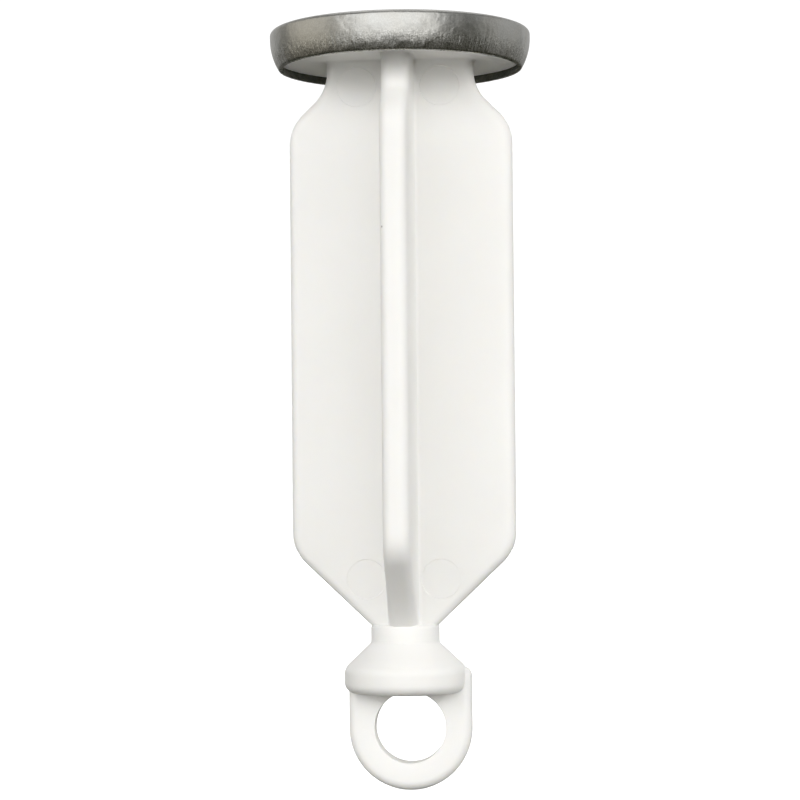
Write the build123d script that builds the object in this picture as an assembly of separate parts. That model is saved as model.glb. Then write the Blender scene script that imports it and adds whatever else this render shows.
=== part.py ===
from build123d import *
import os
from math import sqrt

# Pop-up stopper of a bathroom basin drain, two pieces:
#   cap      a pressed sheet-steel cap, crimped in under the plunger's flange
#   plunger  one plastic moulding: flange, four guide vanes, neck, collar and the eye
#            that the drain's pivot rod passes through
# Frame: +Z runs up the stopper's axis towards the cap, the origin lies on the axis in the
# plane of the cap's rim, the eye's hole runs along Y. Millimetres throughout.

# Cap
CAP_RADIUS = 17.5            # outside, a 35 mm cap
RIM_RADIUS = 16.35           # outside, where the crimped skirt ends
CURL_TOP = 4.0               # height at which the skirt starts to curl inwards
CAP_SHOULDER = 5.0           # height of the top's outer edge, before rounding
CAP_CROWN = 5.8              # height of the domed top on the axis
CAP_EDGE_ROUND = 0.6
RIM_EDGE_ROUND = 0.1
SHEET = 0.45                 # steel thickness

# Flange, the disc that the cap is crimped over
FLANGE_UNDER = 1.1           # height of its underside above the rim
FLANGE_TOP = 4.3

# Guide vanes, a cross that slides in the drain's tube
VANE_REACH = 15.0            # from the axis to a vane's outer edge
VANE_NECK = 9.85             # the same, just under the flange
SHOULDER_TOP = -2.7          # corner where a vane starts to widen
SHOULDER_FOOT = -7.7         # corner where it reaches its full width
TAPER_TOP = -64.7            # corner where it starts to narrow
TAPER_FOOT = -74.6           # where the taper meets the neck
SHOULDER_ROUND = 5.8
TAPER_ROUND = 5.7
VANE_ROOT_THICK = 3.9
VANE_TIP_THICK = 3.5
VANE_EDGE_ROUND = 1.25
VANE_ROOT_ROUND = 0.5
FLANGE_JOINT_ROUND = 0.4

# Neck and collar
NECK_RADIUS = 4.6
CONE_TOP = -77.0
COLLAR_TOP = -80.4
COLLAR_FOOT = -83.75
COLLAR_RADIUS = 8.2
CONE_ROUND = 1.8
COLLAR_ROUND = 1.4

# Eye
EYE_OFFSET = 0.65            # the eye stands a little off the axis, towards +X
EYE_TOP = -80.3
EYE_CENTRE = -88.5
EYE_RADIUS = 8.25
EYE_THICK = 3.6
EYE_EDGE_ROUND = 1.2
EYE_SHOULDER_ROUND = 1.0
HOLE_CENTRE = -88.35
HOLE_RADIUS = 4.75

# Ejector marks: shallow round flats that the mould's pins leave on the front of two vanes
MARK_RADIUS = 2.65
MARK_DEPTH = 0.1
UPPER_MARK_HEIGHT = -2.5
LOWER_MARK_HEIGHT = -68.5
UPPER_MARK_PLACES = [-5.8, 5.4]
LOWER_MARK_PLACES = [-5.0, 5.0]

NEAR = 0.01                  # how close counts as the same place, when edges are picked


def cap_section(inset):
    """Half section of the space inside the cap's skin, which lies inset from its outside."""
    curl_depth = CAP_RADIUS - RIM_RADIUS
    curl_radius = (CURL_TOP**2 + curl_depth**2) / (2 * curl_depth)
    curl_centre = CAP_RADIUS - curl_radius
    wall = CAP_RADIUS - inset
    rim = curl_centre + sqrt((curl_radius - inset) ** 2 - CURL_TOP**2)
    crown = (0, CAP_CROWN - inset)
    shoulder = (wall, CAP_SHOULDER - inset)
    outline = [
        TangentArc(crown, shoulder, tangent=(1, 0)),
        Line(shoulder, (wall, CURL_TOP)),
        TangentArc((wall, CURL_TOP), (rim, 0), tangent=(0, -1)),
        Line((rim, 0), (0, 0)),
        Line((0, 0), crown),
    ]
    section = make_face(outline)
    corner = section.vertices().sort_by_distance((shoulder[0], shoulder[1], 0))[0]
    return fillet(corner, CAP_EDGE_ROUND - inset)


def turned(section):
    """Solid of revolution about Z from a half section drawn in X and height."""
    return revolve(Plane.XZ * section, Axis.Z)


def cap():
    """The steel shell: its outside less its inside, with the rim's two edges eased."""
    shell = turned(cap_section(0) - cap_section(SHEET))
    rim_edges = shell.edges().filter_by(GeomType.CIRCLE).group_by(Axis.Z)[0]
    return fillet(rim_edges, RIM_EDGE_ROUND)


def flange():
    """The disc that fills the cap's inside between two heights."""
    thickness = FLANGE_TOP - FLANGE_UNDER
    band = Pos(CAP_RADIUS / 2, FLANGE_UNDER + thickness / 2) * Rectangle(CAP_RADIUS, thickness)
    return turned(cap_section(SHEET) & band)


def vane_outline():
    """Outline of a pair of opposite vanes, in reach and height, with its corners rounded."""
    side = [
        (VANE_NECK, FLANGE_UNDER),
        (VANE_NECK, SHOULDER_TOP),
        (VANE_REACH, SHOULDER_FOOT),
        (VANE_REACH, TAPER_TOP),
        (NECK_RADIUS, TAPER_FOOT),
    ]
    mirrored = [(-reach, height) for reach, height in reversed(side)]
    outline = make_face(Polyline(side + mirrored, close=True))
    outline = fillet(corners_at(outline, TAPER_TOP), TAPER_ROUND)
    shoulders = corners_at(outline, SHOULDER_TOP) + corners_at(outline, SHOULDER_FOOT)
    return fillet(shoulders, SHOULDER_ROUND)


def corners_at(outline, height):
    """The corners of a flat outline that lie at one height."""
    return outline.vertices().filter_by(lambda corner: abs(corner.Y - height) < NEAR)


def vane_pair():
    """Two opposite vanes as one plate, thinner at its outer edges, which are rounded."""
    root = VANE_ROOT_THICK / 2
    tip = VANE_TIP_THICK / 2
    root_end = root + VANE_ROOT_ROUND
    quarter = [(root_end, root), (VANE_REACH, tip)]
    upper = [(-x, y) for x, y in reversed(quarter)] + quarter
    lower = [(x, -y) for x, y in reversed(upper)]
    plan = make_face(Polyline(upper + lower, close=True))
    slab = extrude(Pos(0, 0, TAPER_FOOT) * plan, FLANGE_UNDER - TAPER_FOOT)
    plate = slab & extrude(Plane.XZ * vane_outline(), VANE_REACH, both=True)
    outer_edges = plate.edges().filter_by(lambda e: is_outer_edge(e, tip))
    return fillet(outer_edges, VANE_EDGE_ROUND)


def is_outer_edge(edge, tip):
    """True for the edges that run down a vane plate's outer side, on its front or its back."""
    middle = edge @ 0.5
    on_face = abs(middle.Y) > tip - NEAR
    inside = FLANGE_UNDER - NEAR > middle.Z > TAPER_FOOT + NEAR
    beyond_root = abs(middle.X) > NECK_RADIUS
    return on_face and inside and beyond_root


def vane_core():
    """Column where the vanes cross, with a hollow round in each of its four corners."""
    corner = VANE_ROOT_THICK / 2 + VANE_ROOT_ROUND
    plan = Rectangle(2 * corner, 2 * corner)
    for x in (-corner, corner):
        for y in (-corner, corner):
            plan -= Pos(x, y) * Circle(VANE_ROOT_ROUND)
    return extrude(Pos(0, 0, TAPER_FOOT) * plan, FLANGE_UNDER - TAPER_FOOT)


def neck_and_collar():
    """Turned foot of the vanes: a short neck, a cone and a collar."""
    outline = Polyline(
        (0, TAPER_FOOT),
        (NECK_RADIUS, TAPER_FOOT),
        (NECK_RADIUS, CONE_TOP),
        (COLLAR_RADIUS, COLLAR_TOP),
        (COLLAR_RADIUS, COLLAR_FOOT),
        (0, COLLAR_FOOT),
        close=True,
    )
    section = make_face(outline)
    cone_corner = section.vertices().sort_by_distance((COLLAR_RADIUS, COLLAR_TOP, 0))[0]
    section = fillet(cone_corner, CONE_ROUND)
    foot_corner = section.vertices().sort_by_distance((COLLAR_RADIUS, COLLAR_FOOT, 0))[0]
    return turned(fillet(foot_corner, COLLAR_ROUND))


def eye():
    """Plate with a round end and a through hole, standing under the collar."""
    height = EYE_TOP - EYE_CENTRE
    square_part = Pos(0, height / 2) * Rectangle(2 * EYE_RADIUS, height)
    square_part = fillet(square_part.vertices().group_by(Axis.Y)[-1], EYE_SHOULDER_ROUND)
    outline = Circle(EYE_RADIUS) + square_part
    upright = Pos(EYE_OFFSET, 0, EYE_CENTRE) * (Plane.XZ * outline)
    plate = extrude(upright, EYE_THICK / 2, both=True)
    face_edges = plate.edges().group_by(Axis.Y)
    plate = fillet(face_edges[0] + face_edges[-1], EYE_EDGE_ROUND)
    hole = Pos(EYE_OFFSET, 0, HOLE_CENTRE) * Rot(90, 0, 0) * Cylinder(HOLE_RADIUS, 2 * EYE_THICK)
    return plate - hole


def ejector_marks():
    """Cutters for the four round flats on the front of the side vanes."""
    places = [(x, UPPER_MARK_HEIGHT) for x in UPPER_MARK_PLACES]
    places += [(x, LOWER_MARK_HEIGHT) for x in LOWER_MARK_PLACES]
    cutters = []
    for x, z in places:
        face_y = vane_face(abs(x))
        pin = Rot(90, 0, 0) * Cylinder(MARK_RADIUS, 2 * MARK_DEPTH)
        cutters.append(Pos(x, -face_y, z) * pin)
    return cutters


def vane_face(reach):
    """Half thickness of a vane at a distance from the axis."""
    root_end = VANE_ROOT_THICK / 2 + VANE_ROOT_ROUND
    thinning = (VANE_ROOT_THICK - VANE_TIP_THICK) / 2 / (VANE_REACH - root_end)
    return VANE_ROOT_THICK / 2 - thinning * (reach - root_end)


def plunger():
    """The whole plastic moulding."""
    side_vanes = vane_pair()
    cross_vanes = Rot(0, 0, 90) * side_vanes
    vanes = side_vanes + cross_vanes + vane_core()
    body = vanes + flange() + neck_and_collar() + eye()
    body = fillet(vane_tops(body), FLANGE_JOINT_ROUND)
    for cutter in ejector_marks():
        body -= cutter
    return body


def vane_tops(body):
    """The edges where the vanes meet the flange's underside."""
    level = body.edges().filter_by(lambda edge: abs((edge @ 0.5).Z - FLANGE_UNDER) < NEAR)
    return level.filter_by(lambda edge: Vector((edge @ 0.5).X, (edge @ 0.5).Y).length < VANE_REACH)


os.makedirs("parts", exist_ok=True)
export_step(cap(), "parts/cap.step")
export_step(plunger(), "parts/plunger.step")
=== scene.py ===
import math

import bmesh
import bpy
from mathutils import Matrix, Vector, noise


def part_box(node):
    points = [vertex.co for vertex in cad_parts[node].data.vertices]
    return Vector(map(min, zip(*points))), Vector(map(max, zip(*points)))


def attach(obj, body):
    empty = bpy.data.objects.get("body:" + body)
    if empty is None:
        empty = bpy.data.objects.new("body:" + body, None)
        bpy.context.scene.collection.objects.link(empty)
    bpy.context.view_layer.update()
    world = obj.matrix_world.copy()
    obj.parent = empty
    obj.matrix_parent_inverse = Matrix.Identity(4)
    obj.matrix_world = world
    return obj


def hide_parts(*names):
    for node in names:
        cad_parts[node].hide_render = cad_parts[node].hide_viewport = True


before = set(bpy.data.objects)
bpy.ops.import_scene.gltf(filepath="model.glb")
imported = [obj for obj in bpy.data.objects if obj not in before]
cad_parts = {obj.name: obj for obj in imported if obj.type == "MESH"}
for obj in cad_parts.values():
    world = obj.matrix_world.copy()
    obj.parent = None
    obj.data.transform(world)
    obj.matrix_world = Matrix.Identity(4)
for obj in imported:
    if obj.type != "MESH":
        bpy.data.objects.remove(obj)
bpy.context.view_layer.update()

# Shapes are worked out in millimetres, on the stopper's axis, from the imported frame's boxes.
MM = 0.001
LONGEST_STEP = 1.0
LONGEST_VANE_STEP = 2.5
PLASTIC_SHARP = 35
STEEL_SHARP = 40
cap_low, cap_high = (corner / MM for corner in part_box("cap"))
plunger_low, plunger_high = (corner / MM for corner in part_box("plunger"))

# Cap
CAP_RADIUS = (cap_high.x - cap_low.x) / 2
CAP_CROWN = cap_high.z
RIM_RADIUS = CAP_RADIUS - 1.15
CURL_TOP = 4.0
CAP_SHOULDER = CAP_CROWN - 0.8
CAP_EDGE_ROUND = 0.6
SHEET = 0.45
CAP_SEGMENTS = 720
CROWN_STEPS = 8
INSIDE_STEPS = 6
RIM_CHAMFER = 0.06           # breaks the rim's two sharp corners
CRIMP_WAVE = 0.03
CRIMP_WRINKLE = 0.022
CRIMP_FINE = 0.008
RIM_UNEVENNESS = 0.035
CURL_END = 0.985             # where the curl stops short of the rim, as a part of its arc

# Flange inside the cap
FLANGE_UNDER = 1.1
FLANGE_TOP = plunger_high.z
FLANGE_GAP = 0.03            # keeps the flange's hidden edge off the steel
FLANGE_JOINT_ROUND = 0.4
FLANGE_SEGMENTS = 240

# Guide vanes
VANE_REACH = 15.0
VANE_NECK = 9.85
SHOULDER_TOP = -2.7
SHOULDER_FOOT = -7.7
TAPER_TOP = -64.7
TAPER_FOOT = -74.6
SHOULDER_ROUND = 5.8
TAPER_ROUND = 5.7
VANE_ROOT_THICK = 3.9
VANE_TIP_THICK = 3.5
VANE_EDGE_ROUND = 1.25
VANE_ROOT_ROUND = 0.5
SIDE_COLUMNS = 9
NOSE_STEPS = 7
ROOT_STEPS = 4
PARTING_HALF_WIDTH = 0.09
PARTING_HEIGHT = 0.03

# Neck and collar
NECK_OVERLAP = 0.15
NECK_EDGE_ROUND = 0.45
NECK_RADIUS = 4.6
CONE_TOP = -77.0
COLLAR_TOP = -80.4
COLLAR_FOOT = -83.75
COLLAR_RADIUS = 8.2
CONE_ROUND = 1.8
COLLAR_ROUND = 1.4
COLLAR_SEGMENTS = 360

# Eye
EYE_RADIUS = 8.25
EYE_CENTRE = plunger_low.z + EYE_RADIUS
EYE_OFFSET = 0.65
EYE_TOP = -80.3
EYE_THICK = 3.6
EYE_EDGE_ROUND = 1.15
EYE_SHOULDER_ROUND = 1.25
HOLE_CENTRE = EYE_CENTRE + 0.15
HOLE_RADIUS = 4.75
HOLE_EDGE_ROUND = 0.15

# Round marks of the mould's ejector pins: radius, depth, and places on the side vanes' front
MARK_RADIUS = 2.65
MARK_DEPTH = 0.1
MARK_SEGMENTS = 120
MARK_PLACES = [(-5.8, -2.5), (5.4, -2.5), (-5.0, -68.5), (5.0, -68.5)]


# ---- outline helpers ----
def arc_points(centre, radius, start, end, steps):
    """Points on a circle's arc between two angles in degrees, both ends included."""
    points = []
    for step in range(steps + 1):
        angle = math.radians(start + (end - start) * step / steps)
        points.append((centre[0] + radius * math.cos(angle), centre[1] + radius * math.sin(angle)))
    return points


def rounded_corner(before, corner, after, radius, steps):
    """The arc that rounds a corner of an outline, as points from its first side to its second."""
    corner = Vector(corner)
    to_before = (Vector(before) - corner).normalized()
    to_after = (Vector(after) - corner).normalized()
    half = to_before.angle(to_after) / 2
    reach = radius / math.tan(half)
    centre = corner + (to_before + to_after).normalized() * (radius / math.sin(half))
    first = (corner + to_before * reach - centre).normalized()
    last = (corner + to_after * reach - centre).normalized()
    return [tuple(centre + first.slerp(last, step / steps) * radius) for step in range(steps + 1)]


def skin(name, rings, ring_shaped=False):
    """A closed skin through rings of equally many points, in millimetres.

    The first and last rings are filled, or joined to each other when the whole is ring-shaped.
    """
    build = bmesh.new()
    made = [[build.verts.new(Vector(point) * MM) for point in ring] for ring in rings]
    if ring_shaped:
        made.append(made[0])
    else:
        build.faces.new(made[0])
        build.faces.new(made[-1])
    count = len(rings[0])
    for upper, lower in zip(made, made[1:]):
        for i in range(count):
            j = (i + 1) % count
            build.faces.new((upper[i], upper[j], lower[j], lower[i]))
    bmesh.ops.recalc_face_normals(build, faces=build.faces)
    mesh = bpy.data.meshes.new(name)
    build.to_mesh(mesh)
    build.free()
    piece = bpy.data.objects.new(name, mesh)
    bpy.context.scene.collection.objects.link(piece)
    return piece


# ---- vanes, neck and collar ----
def vane_outline():
    """Reach and height down a vane's outer edge, from the flange to just inside the neck."""
    slope = (VANE_REACH - NECK_RADIUS) / (TAPER_TOP - TAPER_FOOT)
    corners = [
        (VANE_NECK, FLANGE_UNDER - FLANGE_JOINT_ROUND),
        (VANE_NECK, SHOULDER_TOP),
        (VANE_REACH, SHOULDER_FOOT),
        (VANE_REACH, TAPER_TOP),
        (NECK_RADIUS - NECK_OVERLAP * slope, TAPER_FOOT - NECK_OVERLAP),
    ]
    rounds = [SHOULDER_ROUND, SHOULDER_ROUND, TAPER_ROUND]
    points = [corners[0]]
    for i, radius in enumerate(rounds, start=1):
        points += rounded_corner(corners[i - 1], corners[i], corners[i + 1], radius, 14)
    return points + [corners[-1]]


def spread(points, longest):
    """The same outline with no step longer than a given length."""
    result = [points[0]]
    for start, end in zip(points, points[1:]):
        steps = max(1, math.ceil(math.dist(start, end) / longest))
        for step in range(1, steps + 1):
            part = step / steps
            result.append(tuple(a + (b - a) * part for a, b in zip(start, end)))
    return result


def vane_half_thickness(reach):
    root = VANE_ROOT_THICK / 2
    root_end = root + VANE_ROOT_ROUND
    thinning = (root - VANE_TIP_THICK / 2) / (VANE_REACH - root_end)
    return root - thinning * max(0, reach - root_end)


def arm_section(reach, nose, grow):
    """Half-loop of one vane in plan, from its root round its outer edge and back to its root."""
    root_end = VANE_ROOT_THICK / 2 + VANE_ROOT_ROUND
    outer = reach + grow
    nose_start = outer - nose
    root_centre = (root_end, -root_end)
    corner = arc_points(root_centre, VANE_ROOT_ROUND - grow, 135, 90, ROOT_STEPS)
    side = []
    for column in range(1, SIDE_COLUMNS):
        x = root_end + (nose_start - root_end) * column / SIDE_COLUMNS
        side.append((x, -vane_half_thickness(x) - grow))
    half = vane_half_thickness(nose_start) + grow
    flat = half - VANE_EDGE_ROUND
    edge = []
    for step in range(NOSE_STEPS + 1):
        angle = math.pi / 2 * step / NOSE_STEPS
        edge.append((nose_start + nose * math.sin(angle), -flat - VANE_EDGE_ROUND * math.cos(angle)))
    lower = corner + side + edge + [(outer, -PARTING_HALF_WIDTH)]
    points = lower + [(outer, 0)] + [(x, -y) for x, y in reversed(lower)]
    return points[:-1]


def cross_section(reach, nose, grow):
    """Closed plan loop of the four vanes."""
    arm = arm_section(reach, nose, grow)
    ridge = len(arm) // 2
    loop = []
    for quarter in range(4):
        turn = Matrix.Rotation(math.pi / 2 * quarter, 2)
        for i, point in enumerate(arm):
            x, y = point
            if i == ridge and quarter % 2 == 0:
                x += PARTING_HEIGHT
            loop.append(turn @ Vector((x, y)))
    return loop


def nose_depth(slant):
    """Depth in plan of a vane's rounded edge where the edge leans by slant from upright."""
    return VANE_EDGE_ROUND / math.cos(slant)


def vane_rings():
    outline = spread(vane_outline(), LONGEST_VANE_STEP)
    rings = []
    for i, (reach, height) in enumerate(outline):
        before, after = outline[max(i - 1, 0)], outline[min(i + 1, len(outline) - 1)]
        slant = math.atan2(abs(after[0] - before[0]), abs(after[1] - before[1]))
        loop = cross_section(reach, nose_depth(slant), 0)
        rings.append([(p.x, p.y, height) for p in loop])
    return rings


def flange_joint_rings():
    """The small round between the vanes and the flange, from inside the flange downwards."""
    rings = []
    steps = 6
    for step in range(steps + 1):
        angle = math.pi / 2 * step / steps
        grow = FLANGE_JOINT_ROUND * (1 - math.sin(angle))
        height = FLANGE_UNDER - FLANGE_JOINT_ROUND * (1 - math.cos(angle))
        loop = cross_section(VANE_NECK, VANE_EDGE_ROUND, grow)
        rings.append([(p.x, p.y, height) for p in loop])
    inside = [(x, y, FLANGE_UNDER + FLANGE_JOINT_ROUND) for x, y, height in rings[0]]
    return [inside] + rings


def turned(name, profile, segments, change=None):
    """A solid of revolution from radius and height pairs that start and end near the axis."""
    rings = []
    for radius, height in profile:
        ring = []
        for i in range(segments):
            angle = 2 * math.pi * i / segments
            r, z = change(angle, radius, height) if change else (radius, height)
            ring.append((r * math.cos(angle), r * math.sin(angle), z))
        rings.append(ring)
    return skin(name, rings)


def cap_inside(height, inset):
    """Radius of the cap's skin at a height, inset from its outside."""
    depth = CAP_RADIUS - RIM_RADIUS
    curl = (CURL_TOP**2 + depth**2) / (2 * depth)
    if height >= CURL_TOP:
        return CAP_RADIUS - inset
    return CAP_RADIUS - curl + math.sqrt((curl - inset) ** 2 - (CURL_TOP - height) ** 2)


def make_flange():
    inset = SHEET + FLANGE_GAP
    edge_heights = [CURL_TOP, 3.2, 2.4, 1.8, FLANGE_UNDER + 0.1]
    profile = [(2, FLANGE_TOP), (cap_inside(FLANGE_TOP, inset) - 0.4, FLANGE_TOP)]
    profile += [(cap_inside(height, inset), height) for height in edge_heights]
    profile += [(cap_inside(FLANGE_UNDER, inset) - 0.1, FLANGE_UNDER), (2, FLANGE_UNDER)]
    return turned("flange", profile, FLANGE_SEGMENTS)


def parting_ridge(angle, radius, height):
    """A turned surface with the fine ridge where the two halves of the mould meet."""
    beside = abs(math.sin(angle)) * radius
    return radius + PARTING_HEIGHT * max(0, 1 - beside / (2 * PARTING_HALF_WIDTH)), height


def make_collar():
    corners = [
        (NECK_RADIUS, TAPER_FOOT),
        (NECK_RADIUS, CONE_TOP),
        (COLLAR_RADIUS, COLLAR_TOP),
        (COLLAR_RADIUS, COLLAR_FOOT),
        (0, COLLAR_FOOT),
    ]
    profile = [(2, TAPER_FOOT)]
    profile += rounded_corner((0, TAPER_FOOT), corners[0], corners[1], NECK_EDGE_ROUND, 4)
    profile += rounded_corner(corners[0], corners[1], corners[2], NECK_EDGE_ROUND, 5)
    profile += rounded_corner(corners[1], corners[2], corners[3], CONE_ROUND, 10)
    profile += rounded_corner(corners[2], corners[3], corners[4], COLLAR_ROUND, 10)
    profile += [(2, COLLAR_FOOT)]
    return turned("collar", spread(profile, LONGEST_STEP), COLLAR_SEGMENTS, parting_ridge)


def make_vanes():
    return skin("plunger_moulding", flange_joint_rings() + vane_rings())


# ---- eye ----
def eye_outline():
    """Points and outward normals round the eye plate, as seen from the front."""
    left, right = EYE_OFFSET - EYE_RADIUS, EYE_OFFSET + EYE_RADIUS
    points = arc_points((EYE_OFFSET, EYE_CENTRE), EYE_RADIUS, 180, 360, 96)
    top = EYE_TOP
    points += rounded_corner((right, EYE_CENTRE), (right, top), (left, top), EYE_SHOULDER_ROUND, 10)
    points += rounded_corner((right, top), (left, top), (left, EYE_CENTRE), EYE_SHOULDER_ROUND, 10)
    points = spread(points + [points[0]], LONGEST_STEP)[:-1]
    normals = []
    count = len(points)
    for i in range(count):
        ahead, behind = Vector(points[(i + 1) % count]), Vector(points[i - 1])
        along = (ahead - behind).normalized()
        normals.append(Vector((along.y, -along.x)))
    return [Vector(p) for p in points], normals


def make_eye():
    points, normals = eye_outline()
    half = EYE_THICK / 2
    centre = Vector((EYE_OFFSET, HOLE_CENTRE))
    ways = [(point - centre).normalized() for point in points]
    steps = 8

    def hole_ring(radius, depth):
        return [(*(centre + way * radius), depth) for way in ways]

    def edge_ring(inset, depth):
        return [(*(point - normal * inset), depth) for point, normal in zip(points, normals)]

    rings = [
        hole_ring(HOLE_RADIUS, half - HOLE_EDGE_ROUND),
        hole_ring(HOLE_RADIUS + 0.3 * HOLE_EDGE_ROUND, half - 0.3 * HOLE_EDGE_ROUND),
        hole_ring(HOLE_RADIUS + HOLE_EDGE_ROUND, half),
        edge_ring(EYE_EDGE_ROUND + 0.15, half),
    ]
    for step in range(steps + 1):
        angle = math.pi / 2 * step / steps
        inset = EYE_EDGE_ROUND * (1 - math.sin(angle))
        rings.append(edge_ring(inset, half - EYE_EDGE_ROUND * (1 - math.cos(angle))))
    rings += [[(x, z, -depth) for x, z, depth in ring] for ring in reversed(rings)]
    upright = [[(x, depth, z) for x, z, depth in ring] for ring in rings]
    return skin("eye", upright, ring_shaped=True)


def make_mark(x, z):
    """Cutter for one ejector mark: a shallow disc that stands half out of the vane's front."""
    face = -vane_half_thickness(abs(x))
    rings = []
    flared = [
        (MARK_RADIUS + 0.05, -MARK_DEPTH),
        (MARK_RADIUS + 0.02, 0),
        (MARK_RADIUS - 0.04, MARK_DEPTH),
    ]
    for radius, depth in flared:
        ring = []
        for i in range(MARK_SEGMENTS):
            angle = 2 * math.pi * i / MARK_SEGMENTS
            ring.append((x + radius * math.cos(angle), face + depth, z + radius * math.sin(angle)))
        rings.append(ring)
    return skin("mark", rings)


def combine(piece, other, operation):
    """Adds another closed mesh to a piece, or cuts it out, and removes the other."""
    modifier = piece.modifiers.new(operation, "BOOLEAN")
    modifier.operation = operation
    modifier.solver = "MANIFOLD"
    modifier.object = other
    bpy.context.view_layer.update()
    graph = bpy.context.evaluated_depsgraph_get()
    result = bpy.data.meshes.new_from_object(piece.evaluated_get(graph))
    result.materials.clear()    # the boolean leaves an empty slot, which the faces would use
    piece.modifiers.clear()
    piece.data = result
    bpy.data.objects.remove(other)


def smooth_faces(piece, sharp_degrees):
    """Smooth shading with sharp edges kept, and flat faces kept flat by weighted normals."""
    mesh = piece.data
    mesh.shade_smooth()
    mesh.set_sharp_from_angle(angle=math.radians(sharp_degrees))
    modifier = piece.modifiers.new("flat_faces", "WEIGHTED_NORMAL")
    modifier.keep_sharp = True
    modifier.weight = 60


def make_plunger():
    piece = make_vanes()
    for other in (make_flange(), make_collar(), make_eye()):
        combine(piece, other, "UNION")
    for x, z in MARK_PLACES:
        combine(piece, make_mark(x, z), "DIFFERENCE")
    smooth_faces(piece, PLASTIC_SHARP)
    return piece


# ---- cap ----
def cap_profile():
    """Radius and height round the steel: over the crown, down the outside, and back up the inside."""
    depth = CAP_RADIUS - RIM_RADIUS
    curl = (CURL_TOP**2 + depth**2) / (2 * depth)
    centre = CAP_RADIUS - curl
    foot_angle = -math.degrees(math.asin(CURL_TOP / curl))
    rise = CAP_CROWN - CAP_SHOULDER
    dome = (CAP_RADIUS**2 + rise**2) / (2 * rise)
    outer = []
    crown_reach = CAP_RADIUS - CAP_EDGE_ROUND * 1.3
    for step in range(1, CROWN_STEPS + 1):
        radius = crown_reach * step / CROWN_STEPS
        outer.append((radius, CAP_CROWN - dome + math.sqrt(dome**2 - radius**2)))
    before = outer[-1]
    outer += rounded_corner(before, (CAP_RADIUS, CAP_SHOULDER), (CAP_RADIUS, 0), CAP_EDGE_ROUND, 8)
    outer += arc_points((centre, CURL_TOP), curl, 0, foot_angle * CURL_END, 16)
    rim_in = centre + math.sqrt((curl - SHEET) ** 2 - CURL_TOP**2)
    outer += [(RIM_RADIUS - RIM_CHAMFER, 0.0), (rim_in + RIM_CHAMFER, 0.0)]
    inner_angle = -math.degrees(math.asin(CURL_TOP / (curl - SHEET)))
    outer += arc_points((centre, CURL_TOP), curl - SHEET, inner_angle * CURL_END, 0, 12)
    top_in = CAP_SHOULDER - SHEET
    wall_in = CAP_RADIUS - SHEET
    outer += rounded_corner((wall_in, 0), (wall_in, top_in), (0, top_in + 0.6), CAP_EDGE_ROUND - SHEET, 3)
    for step in range(INSIDE_STEPS - 1, 0, -1):
        radius = (CAP_RADIUS - SHEET - 0.6) * step / INSIDE_STEPS
        height = CAP_CROWN - dome + math.sqrt((dome - SHEET) ** 2 - radius**2)
        outer.append((radius, height))
    return outer


def crimp_offset(angle, height):
    """How far the skin stands out at one place, in millimetres: long waves and fine wrinkles."""
    low = max(0.0, min(1.0, (2.6 - height) / 2.6))
    mid = max(0.0, min(1.0, (4.6 - height) / 3.0))
    x, y = math.cos(angle), math.sin(angle)
    wave = noise.noise(Vector((x * 2.1, y * 2.1, 3.7)))
    wrinkle = noise.noise(Vector((x * 26, y * 26, height * 0.35)))
    fine = noise.noise(Vector((x * 70, y * 70, height * 0.6 + 9)))
    return mid * CRIMP_WAVE * wave + low * (CRIMP_WRINKLE * wrinkle + CRIMP_FINE * fine)


def crimp(angle, radius, height):
    """The cap's skin at one place, with the crimp's waves and wrinkles and a slightly uneven rim."""
    if radius < CAP_RADIUS / 2:
        return radius, height
    x, y = math.cos(angle), math.sin(angle)
    rim = max(0.0, 1 - height / 0.8)
    lift = rim * RIM_UNEVENNESS * noise.noise(Vector((x * 20, y * 20, 30)))
    return radius + crimp_offset(angle, height), max(0.0, height + lift)


def make_cap():
    piece = turned("cap_shell", cap_profile(), CAP_SEGMENTS, crimp)
    mesh = piece.data
    for face in mesh.polygons:
        centre = face.center / MM
        across = Vector((centre.x, centre.y))
        outwards = face.normal.x * across.x + face.normal.y * across.y
        under = centre.z > CAP_SHOULDER - SHEET and face.normal.z < 0
        # Inward faces take the second material, whose near-black colour is painted shade.
        if outwards < 0 and face.normal.z < 0.9 or under:
            face.material_index = 1
    mesh.shade_smooth()
    mesh.set_sharp_from_angle(angle=math.radians(STEEL_SHARP))
    return piece


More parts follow.
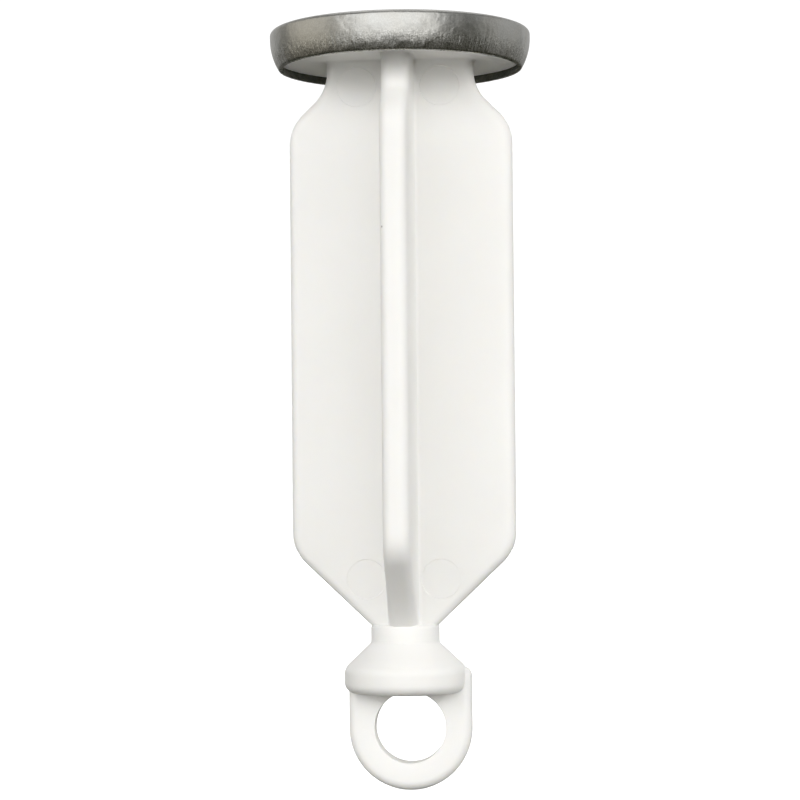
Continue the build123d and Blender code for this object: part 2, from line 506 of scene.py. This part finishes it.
# ---- materials ----
class Nodes:
    """Short calls for adding linked nodes to one material."""

    def __init__(self, name):
        self.material = bpy.data.materials.new(name)
        self.material.use_nodes = True
        self.tree = self.material.node_tree
        self.bsdf = self.tree.nodes["Principled BSDF"]
        self.place = self.tree.nodes.new("ShaderNodeTexCoord").outputs["Object"]

    def add(self, kind, **settings):
        node = self.tree.nodes.new(kind)
        for key, value in settings.items():
            setattr(node, key, value)
        return node

    def link(self, output, socket):
        self.tree.links.new(output, socket)

    def set(self, **values):
        """Sets the shader's own sockets, by name with underscores for spaces."""
        for name, value in values.items():
            self.bsdf.inputs[name.replace("_", " ")].default_value = value

    def noise(self, per_mm, detail=3.0, roughness=0.55, place=None):
        """Noise with about so many spots to the millimetre."""
        node = self.add("ShaderNodeTexNoise")
        node.inputs["Scale"].default_value = per_mm / MM
        node.inputs["Detail"].default_value = detail
        node.inputs["Roughness"].default_value = roughness
        self.link(place or self.place, node.inputs["Vector"])
        return node.outputs["Fac"]

    def spread(self, value, low, high, to_low=0.0, to_high=1.0):
        node = self.add("ShaderNodeMapRange", interpolation_type="SMOOTHSTEP")
        self.link(value, node.inputs["Value"])
        node.inputs["From Min"].default_value = low
        node.inputs["From Max"].default_value = high
        node.inputs["To Min"].default_value = to_low
        node.inputs["To Max"].default_value = to_high
        return node.outputs["Result"]

    def math(self, operation, first, second):
        node = self.add("ShaderNodeMath", operation=operation)
        for socket, value in zip(node.inputs, (first, second)):
            if isinstance(value, (int, float)):
                socket.default_value = value
            else:
                self.link(value, socket)
        return node.outputs["Value"]

    def blend(self, amount, first, second):
        """Mix of two colours, each a socket or a plain colour."""
        node = self.add("ShaderNodeMix", data_type="RGBA")
        self.link(amount, node.inputs[0])
        for socket, value in ((node.inputs[6], first), (node.inputs[7], second)):
            if isinstance(value, tuple):
                socket.default_value = (*value, 1)
            else:
                self.link(value, socket)
        return node.outputs[2]

    def bump(self, height, depth_mm, normal=None):
        node = self.add("ShaderNodeBump")
        node.inputs["Distance"].default_value = depth_mm * MM
        self.link(height, node.inputs["Height"])
        if normal:
            self.link(normal, node.inputs["Normal"])
        return node.outputs["Normal"]


def around_axis(nodes, along, up):
    """Place on the turned surface, with arc length and height stretched by a factor, and the height."""
    split = nodes.add("ShaderNodeSeparateXYZ")
    nodes.link(nodes.place, split.inputs["Vector"])
    angle = nodes.math("ARCTAN2", split.outputs["Y"], split.outputs["X"])
    arc = nodes.math("MULTIPLY", angle, CAP_RADIUS * MM * along)
    height = nodes.math("MULTIPLY", split.outputs["Z"], up)
    join = nodes.add("ShaderNodeCombineXYZ")
    nodes.link(arc, join.inputs["X"])
    nodes.link(height, join.inputs["Z"])
    return join.outputs["Vector"], split.outputs["Z"]


def steel_material():
    """Satin steel: fine grain, faint turning lines, crimp streaks low on the skirt, soft dents; pits and
    streaks also darken the base colour low on the skirt as painted shade.
    """
    nodes = Nodes("satin_steel")
    grain = nodes.noise(5.5, 2)
    blotches = nodes.noise(0.35, 4)
    dents = nodes.noise(0.3, 3)
    streak_place, height = around_axis(nodes, 1, 0.16)
    streaks = nodes.noise(2.2, 3, place=streak_place)
    line_place = around_axis(nodes, 0.05, 1)[0]
    lines = nodes.noise(4.5, 3, place=line_place)
    low = nodes.spread(height, 3.0 * MM, 0.6 * MM)
    streaks_low = nodes.math("MULTIPLY", streaks, low)

    tint = nodes.blend(nodes.spread(blotches, 0.35, 0.65), (0.62, 0.62, 0.60), (0.66, 0.65, 0.615))
    tint = nodes.blend(nodes.spread(grain, 0.66, 0.38, 0.0, 0.35), tint, (0.42, 0.42, 0.40))
    # Pits and crimp streaks darken the base colour only in the bottom 3 mm of the skirt: real crimp
    # marks, and also a painted dark reflection (painted shade) near the rim.
    pits_and_painted_shade = nodes.math("MULTIPLY", nodes.spread(grain, 0.52, 0.40), low)
    tint = nodes.blend(pits_and_painted_shade, tint, (0.30, 0.30, 0.28))
    glints = nodes.math("MULTIPLY", nodes.spread(grain, 0.58, 0.68), low)
    tint = nodes.blend(glints, tint, (1.0, 1.0, 0.97))
    # Darker base colour along the low crimp streaks: real streaks, and also painted shade near the rim.
    streaks_and_painted_shade = nodes.spread(streaks_low, 0.2, 0.62, 0.0, 0.55)
    tint = nodes.blend(streaks_and_painted_shade, tint, (0.30, 0.29, 0.27))
    nodes.link(tint, nodes.bsdf.inputs["Base Color"])

    smudges = nodes.spread(blotches, 0.3, 0.7, 0.24, 0.34)
    rough = nodes.math("ADD", smudges, nodes.math("MULTIPLY", grain, 0.1))
    nodes.link(rough, nodes.bsdf.inputs["Roughness"])
    normal = nodes.bump(dents, 0.22)
    normal = nodes.bump(streaks_low, 0.12, normal)
    normal = nodes.bump(lines, 0.010, normal)
    normal = nodes.bump(grain, 0.012, normal)
    nodes.link(normal, nodes.bsdf.inputs["Normal"])
    nodes.set(Metallic=1.0)
    return nodes.material


def inner_steel_material():
    """The unpolished inside of the cap, painted near-black: painted shade of the gap under the rim."""
    nodes = Nodes("dark_steel")
    inside_shade_mottle = nodes.noise(0.8, 4)
    grain = nodes.noise(4, 2)
    # Painted shade: the near-black base colour stands in for the shadowed inside of the rim, mottled at
    # random.
    tint = nodes.blend(nodes.spread(inside_shade_mottle, 0.35, 0.7), (0.075, 0.085, 0.065), (0.15, 0.15, 0.125))
    nodes.link(tint, nodes.bsdf.inputs["Base Color"])
    nodes.link(nodes.spread(grain, 0.3, 0.7, 0.4, 0.6), nodes.bsdf.inputs["Roughness"])
    nodes.link(nodes.bump(grain, 0.01), nodes.bsdf.inputs["Normal"])
    nodes.set(Metallic=0.7)
    return nodes.material


def plastic_material():
    """White moulded plastic: even skin with a fine texture, soft flow marks and a few dark specks."""
    nodes = Nodes("white_plastic")
    flow = nodes.noise(0.06, 3)
    peel = nodes.noise(0.9, 2)
    skin_texture = nodes.noise(4.5, 2)
    tint = nodes.blend(nodes.spread(flow, 0.35, 0.65), (0.866, 0.857, 0.834), (0.881, 0.873, 0.851))
    specks = nodes.add("ShaderNodeTexVoronoi")
    specks.inputs["Scale"].default_value = 0.05 / MM
    nodes.link(nodes.place, specks.inputs["Vector"])
    speck = nodes.spread(specks.outputs["Distance"], 0.011, 0.005)
    tint = nodes.blend(speck, tint, (0.33, 0.30, 0.27))
    nodes.link(tint, nodes.bsdf.inputs["Base Color"])
    nodes.link(nodes.spread(peel, 0.3, 0.7, 0.40, 0.48), nodes.bsdf.inputs["Roughness"])
    normal = nodes.bump(peel, 0.010)
    normal = nodes.bump(skin_texture, 0.002, normal)
    nodes.link(normal, nodes.bsdf.inputs["Normal"])
    nodes.set(Subsurface_Weight=0.15, Subsurface_Scale=1.2 * MM, IOR=1.49)
    nodes.bsdf.inputs["Subsurface Radius"].default_value = (1.0, 0.85, 0.6)
    return nodes.material


# ---- camera ----
CAMERA_DISTANCE = 343.7
CAMERA_AZIMUTH = 4.3
CAMERA_HEIGHT = -56
CAMERA_PITCH = 1.018
CAMERA_ROLL = -0.54
CAMERA_TURN = 0.081
CAMERA_SHIFT = 0.05
FOCAL_WIDTHS = 3.19625       # focal length in picture widths
SENSOR = 36


def make_camera():
    data = bpy.data.cameras.new("camera")
    data.sensor_width = SENSOR
    data.lens = SENSOR * FOCAL_WIDTHS
    data.clip_start = 0.01
    data.shift_y = CAMERA_SHIFT
    camera = bpy.data.objects.new("camera", data)
    bpy.context.scene.collection.objects.link(camera)
    azimuth = math.radians(CAMERA_AZIMUTH)
    way = Vector((math.sin(azimuth), -math.cos(azimuth), 0))
    place = way * CAMERA_DISTANCE * MM
    place.z = CAMERA_HEIGHT * MM
    turn = Matrix.Rotation(azimuth + math.radians(CAMERA_TURN), 4, "Z")
    pitch = Matrix.Rotation(math.pi / 2 + math.radians(CAMERA_PITCH), 4, "X")
    roll = Matrix.Rotation(math.radians(CAMERA_ROLL), 4, "Z")
    camera.matrix_world = Matrix.Translation(place) @ turn @ pitch @ roll
    bpy.context.scene.camera = camera


# ---- studio ----
LAMP_CENTRE = -45              # the height that every lamp faces
WHITE = (1.0, 1.0, 1.0)
BEIGE = (1.0, 0.94, 0.82)
SOFT_WHITE = (1.0, 1.0, 0.998)


def softbox(name, azimuth, elevation, distance, width, height, radiance, colour=WHITE, use="both"):
    """A rectangular lamp facing the object, used for lighting, for mirroring in the steel, or both."""
    data = bpy.data.lights.new(name, "AREA")
    data.shape = "RECTANGLE"
    data.size = width
    data.size_y = height
    data.energy = radiance * width * height * math.pi
    data.color = colour
    lamp = bpy.data.objects.new(name, data)
    bpy.context.scene.collection.objects.link(lamp)
    a, e = math.radians(azimuth), math.radians(elevation)
    way = Vector((math.sin(a) * math.cos(e), -math.cos(a) * math.cos(e), math.sin(e)))
    lamp.location = Vector((0, 0, LAMP_CENTRE * MM)) + way * distance
    lamp.rotation_mode = "QUATERNION"
    lamp.rotation_quaternion = way.to_track_quat("Z", "Y")
    lamp.visible_camera = False
    lamp.visible_glossy = use != "light"
    lamp.visible_diffuse = use != "mirror"


def make_world():
    world = bpy.data.worlds.new("studio")
    bpy.context.scene.world = world
    world.use_nodes = True
    nodes, links = world.node_tree.nodes, world.node_tree.links
    nodes.clear()
    coords = nodes.new("ShaderNodeTexCoord")
    split = nodes.new("ShaderNodeSeparateXYZ")
    links.new(coords.outputs["Generated"], split.inputs["Vector"])
    ramp = nodes.new("ShaderNodeValToRGB")
    ramp.color_ramp.elements[0].position = 0.36
    ramp.color_ramp.elements[0].color = (0.050, 0.049, 0.034, 1)
    ramp.color_ramp.elements[1].position = 0.62
    ramp.color_ramp.elements[1].color = (0.20, 0.20, 0.195, 1)
    place = nodes.new("ShaderNodeMapRange")
    place.inputs["From Min"].default_value = -1
    links.new(split.outputs["Z"], place.inputs["Value"])
    links.new(place.outputs["Result"], ramp.inputs["Fac"])
    studio = nodes.new("ShaderNodeBackground")
    links.new(ramp.outputs["Color"], studio.inputs["Color"])
    paper = nodes.new("ShaderNodeBackground")
    paper.inputs["Color"].default_value = (1, 1, 1, 1)
    paper.inputs["Strength"].default_value = 1.1
    rays = nodes.new("ShaderNodeLightPath")
    mix = nodes.new("ShaderNodeMixShader")
    links.new(rays.outputs["Is Camera Ray"], mix.inputs["Fac"])
    links.new(studio.outputs["Background"], mix.inputs[1])
    links.new(paper.outputs["Background"], mix.inputs[2])
    output = nodes.new("ShaderNodeOutputWorld")
    links.new(mix.outputs["Shader"], output.inputs["Surface"])


def make_floor():
    bpy.ops.mesh.primitive_plane_add(size=8, location=(0, 0, plunger_low.z * MM))
    floor = bpy.context.object
    floor.name = "floor"
    nodes = Nodes("pale_floor")
    paper = nodes.noise(0.01, 2)
    tint = nodes.blend(nodes.spread(paper, 0.4, 0.6), (0.9, 0.9, 0.9), (0.92, 0.92, 0.92))
    nodes.link(tint, nodes.bsdf.inputs["Base Color"])
    nodes.set(Roughness=0.9, Emission_Color=(1, 1, 1, 1), Emission_Strength=1.0)
    floor.data.materials.append(nodes.material)
    floor.visible_glossy = False
    floor.visible_diffuse = False
    floor.visible_shadow = False


def set_colours():
    scene = bpy.context.scene
    scene.view_settings.view_transform = "Standard"
    scene.view_settings.look = "None"
    scene.cycles.use_denoising = True


def finish_piece(piece, node, materials):
    for material in materials:
        piece.data.materials.append(material)
    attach(piece, "root")
    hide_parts(node)


make_camera()
make_world()
make_floor()
softbox("key", -3, 17, 1.2, 2.05, 0.80, 1.3)
softbox("low_card", -3, -15, 1.2, 2.05, 0.60, 1.1, use="mirror")
softbox("left_card", -82, 5, 1.2, 1.1, 1.4, 0.5, BEIGE, use="mirror")
softbox("right_card", 108, 5, 1.2, 1.1, 1.4, 0.31, use="mirror")
softbox("top", 180, 78, 1.2, 1.2, 1.2, 0.7)
softbox("back_left", -152, 18, 1.2, 0.9, 1.2, 0.36)
softbox("back_right", 158, 18, 1.2, 0.8, 1.2, 0.36)
softbox("front_fill", -3, 21, 1.1, 1.65, 0.46, 1.75, SOFT_WHITE, use="light")
softbox("right_fill", 68, 12, 1.1, 1.1, 0.5, 3.9, SOFT_WHITE, use="light")
softbox("left_fill", -62, 12, 1.1, 1.0, 0.5, 2.6, SOFT_WHITE, use="light")
softbox("low_fill", 0, -44, 1.2, 1.6, 0.5, 0.95, SOFT_WHITE, use="light")
softbox("back_fill", 180, 15, 1.2, 2.0, 0.8, 1.8, SOFT_WHITE, use="light")
finish_piece(make_plunger(), "plunger", [plastic_material()])
finish_piece(make_cap(), "cap", [steel_material(), inner_steel_material()])
set_colours()
